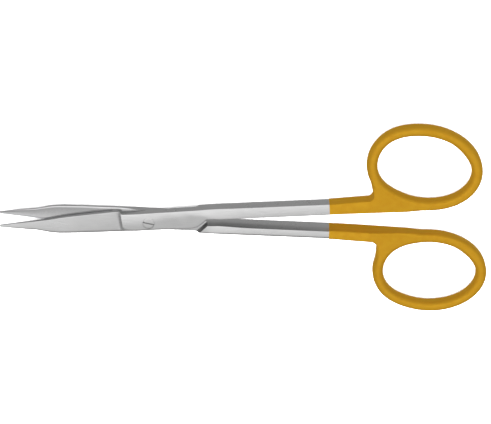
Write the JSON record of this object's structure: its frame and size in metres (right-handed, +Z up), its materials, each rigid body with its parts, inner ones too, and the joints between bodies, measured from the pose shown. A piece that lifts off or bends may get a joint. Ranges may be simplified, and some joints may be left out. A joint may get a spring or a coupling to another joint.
{
  "type": "scissors",
  "caption": "Fine straight pointed scissors with gold-plated finger rings, carbide cutting edges and a flush slotted screw pivot.",
  "frame": {"origin": "on the pivot axis, at the plane the scissors rest on", "axes": "+X towards the finger rings, blade tips towards -X; +Z up, along the pivot axis; +Y across the scissors, towards the front half's finger ring"},
  "size_m": [0.1322, 0.0551, 0.0036],
  "materials": {
    "steel": "satin",
    "gold_plate": "polished gold plate",
    "carbide": "ground",
    "screw_steel": "satin, ground flush"
  },
  "bodies": {
    "back_scissor_half": {"back_half": "steel", "back_edge_insert": "carbide", "back_finger_ring": "gold_plate", "pivot_screw": "screw_steel"},
    "front_scissor_half": {"front_half": "steel", "front_edge_insert": "carbide", "front_finger_ring": "gold_plate"}
  },
  "joints": [
    {"name": "pivot", "type": "hinge", "parent": "back_scissor_half", "child": "front_scissor_half", "pos_m": [0, 0, 0.0018], "axis": [0, 0, 1], "range_deg": [-4.8, 55]}
  ]
}
